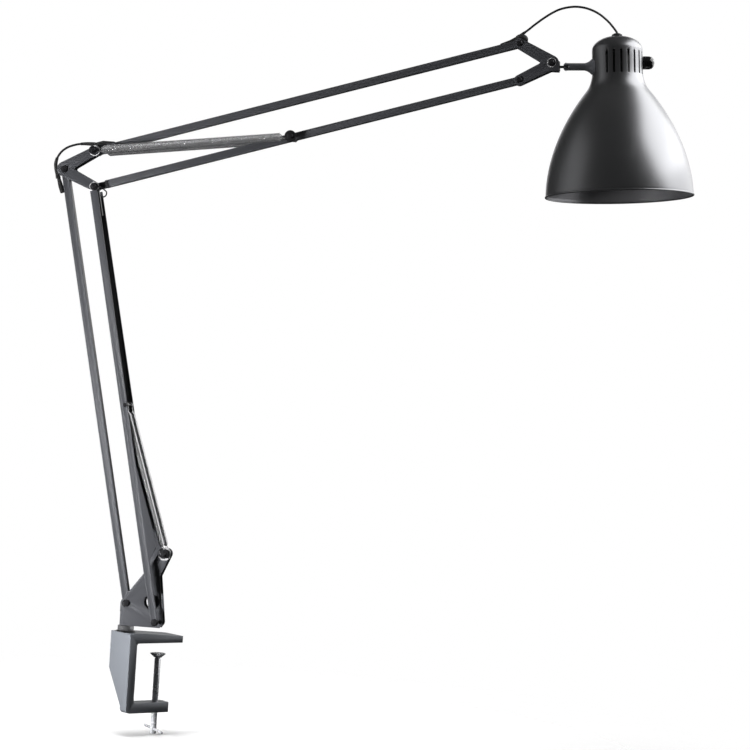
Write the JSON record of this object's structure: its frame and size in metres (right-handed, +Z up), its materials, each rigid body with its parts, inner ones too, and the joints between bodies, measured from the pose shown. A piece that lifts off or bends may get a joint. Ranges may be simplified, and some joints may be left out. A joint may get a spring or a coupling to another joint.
{
  "type": "architect desk lamp",
  "caption": "Spring-balanced two-arm task lamp with a bell shade, swivelling on a screw clamp for a desk edge.",
  "frame": {"origin": "underside of the clamp's top arm, on the clamp screw's axis", "axes": "+Z up, +X from the clamp towards the shade in the plane of the arms, +Y away from the viewer"},
  "size_m": [0.7311, 0.165, 0.852],
  "materials": {
    "clamp_paint": "satin grey-blue enamel on a casting",
    "arm_paint": "satin graphite enamel",
    "shade_paint": "smooth semi-gloss graphite enamel",
    "zinc": "bright zinc plate",
    "spring_steel": "bright spring wire",
    "black_steel": "black oxide",
    "black_plastic": "moulded black nylon",
    "knob_plastic": "glossy black",
    "rubber": "matt black",
    "lead_sheath": "smooth black lead",
    "opal_glass": "opal"
  },
  "bodies": {
    "clamp": {"clamp_frame": "clamp_paint", "clamp_bush": "black_plastic"},
    "pad": {"clamp_pad": "zinc"},
    "screw": {"clamp_screw": "zinc"},
    "tommy": {"tommy_bar": "zinc"},
    "base": {"base_post": "zinc", "base_bracket": "arm_paint", "base_pivot_screw": "black_steel", "base_pivot_nut": "black_steel", "channel_pivot_screw": "black_steel", "channel_pivot_nut": "black_steel", "lower_spring_screw": "black_steel", "lower_spring_nut": "black_steel"},
    "lower_arm": {"lower_rear_bar": "arm_paint", "lead_gland": "rubber", "lower_lead": "lead_sheath", "elbow_boot_lower": "rubber", "elbow_cord_low": "lead_sheath"},
    "channel": {"lower_front_channel": "arm_paint", "lower_spring_pin": "black_steel"},
    "lower_springs": {"lower_spring_front": "spring_steel"},
    "lower_spring_ends": {"lower_spring_rear": "spring_steel"},
    "elbow": {"elbow_bracket": "arm_paint", "elbow_rear_screw": "black_steel", "elbow_rear_nut": "black_steel", "elbow_low_screw": "black_steel", "elbow_low_nut": "black_steel", "elbow_high_screw": "black_steel", "elbow_high_nut": "black_steel"},
    "upper_arm": {"upper_top_bar": "arm_paint", "upper_lead": "lead_sheath", "elbow_boot_upper": "rubber", "head_boot": "rubber", "elbow_cord_high": "lead_sheath", "head_cord_low": "lead_sheath"},
    "lower_bar": {"upper_bottom_bar": "arm_paint", "bar_end_cap": "black_plastic", "upper_spring_screw": "black_steel", "upper_spring_nut": "black_steel"},
    "upper_springs": {"upper_spring_front": "spring_steel"},
    "upper_spring_ends": {"upper_spring_rear": "spring_steel"},
    "head": {"head_bracket": "arm_paint", "head_high_screw": "black_steel", "head_high_nut": "black_steel", "head_low_screw": "black_steel", "head_low_nut": "black_steel", "tilt_screw": "black_steel", "tilt_nut": "black_steel"},
    "knuckle": {"head_tongue": "black_plastic"},
    "shade": {"head_stem": "arm_paint", "neck_pin": "zinc", "shade_shell": "shade_paint", "lamp_holder": "black_plastic", "bulb": "opal_glass", "cord_grommet": "rubber", "switch_body": "black_plastic", "head_cord_high": "lead_sheath"},
    "knob": {"switch_knob": "knob_plastic"}
  },
  "joints": [
    {"name": "pad_travel", "type": "slide", "parent": "clamp", "child": "pad", "axis": [0, 0, 1], "range_m": [-0.044, 0.01]},
    {"name": "screw_turn", "type": "hinge", "parent": "pad", "child": "screw", "pos_m": [0, 0, -0.0995], "axis": [0, 0, 1], "range_deg": [-13579, 3094]},
    {"name": "tommy_slide", "type": "slide", "parent": "screw", "child": "tommy", "axis": [0.5446, -0.8387, 0], "range_m": [-0.02, 0.02]},
    {"name": "base_swivel", "type": "hinge", "parent": "clamp", "child": "base", "pos_m": [-0.03513, -0.01884, 0.02], "axis": [0, 0, 1], "continuous": true},
    {"name": "lower_arm_lean", "type": "hinge", "parent": "base", "child": "lower_arm", "pos_m": [-0.03513, -0.01884, 0.044], "axis": [0, 1, 0], "range_deg": [-8, 14]},
    {"name": "channel_lean", "type": "hinge", "parent": "base", "child": "channel", "pos_m": [0.00187, -0.01884, 0.0255], "axis": [0, 1, 0], "range_deg": [-8.01, 14.01]},
    {"name": "lower_spring_swing", "type": "hinge", "parent": "base", "child": "lower_springs", "pos_m": [0.00647, -0.01884, 0.1033], "axis": [0, 1, 0], "range_deg": [-11.39, 19.93]},
    {"name": "lower_spring_stretch", "type": "slide", "parent": "lower_springs", "child": "lower_spring_ends", "axis": [-0.3159, 0, 0.9488], "range_m": [-0.00436, 0.00249], "deforming": ["lower_spring_front", "lower_spring_rear"]},
    {"name": "elbow_level", "type": "hinge", "parent": "lower_arm", "child": "elbow", "pos_m": [-0.14056, -0.01884, 0.53582], "axis": [0, 1, 0], "range_deg": [-14.01, 8.01]},
    {"name": "upper_arm_raise", "type": "hinge", "parent": "elbow", "child": "upper_arm", "pos_m": [-0.10556, -0.01884, 0.55832], "axis": [0, 1, 0], "range_deg": [-34, 30]},
    {"name": "lower_bar_follow", "type": "hinge", "parent": "elbow", "child": "lower_bar", "pos_m": [-0.10356, -0.01884, 0.51733], "axis": [0, 1, 0], "range_deg": [-34.01, 30.01]},
    {"name": "upper_spring_swing", "type": "hinge", "parent": "elbow", "child": "upper_springs", "pos_m": [-0.10556, -0.01884, 0.55832], "axis": [0, 1, 0], "range_deg": [-34.82, 30.72]},
    {"name": "upper_spring_stretch", "type": "slide", "parent": "upper_springs", "child": "upper_spring_ends", "axis": [0.9934, 0, 0.115], "range_m": [-0.02339, 0.02064], "deforming": ["upper_spring_front", "upper_spring_rear"]},
    {"name": "head_level", "type": "hinge", "parent": "upper_arm", "child": "head", "pos_m": [0.37456, -0.01884, 0.70146], "axis": [0, 1, 0], "range_deg": [-30.01, 34.01]},
    {"name": "head_tilt", "type": "hinge", "parent": "head", "child": "knuckle", "pos_m": [0.41176, -0.01884, 0.68126], "axis": [0, 1, 0], "range_deg": [-38, 40]},
    {"name": "head_swivel", "type": "hinge", "parent": "knuckle", "child": "shade", "pos_m": [0.42745, -0.01884, 0.67805], "axis": [-0.0767, 0, 0.9971], "range_deg": [-35, 35]},
    {"name": "switch_turn", "type": "hinge", "parent": "shade", "child": "knob", "pos_m": [0.51745, 0.00376, 0.68959], "axis": [0.9674, 0.2419, 0.0744], "range_deg": [0, 90]}
  ],
  "couplings": [
    {"joint": "screw_turn", "follows": "pad_travel", "rad_per_m": 5026.5},
    {"joint": "channel_lean", "follows": "lower_arm_lean", "ratio": 1},
    {"joint": "lower_spring_swing", "follows": "lower_arm_lean", "ratio": 1.4228},
    {"joint": "lower_spring_stretch", "follows": "lower_arm_lean", "m_per_rad": -0.01779},
    {"joint": "elbow_level", "follows": "lower_arm_lean", "ratio": -1},
    {"joint": "lower_bar_follow", "follows": "upper_arm_raise", "ratio": 1},
    {"joint": "upper_spring_swing", "follows": "upper_arm_raise", "ratio": 1.0238},
    {"joint": "upper_spring_stretch", "follows": "upper_arm_raise", "m_per_rad": 0.0394},
    {"joint": "head_level", "follows": "upper_arm_raise", "ratio": -1}
  ]
}
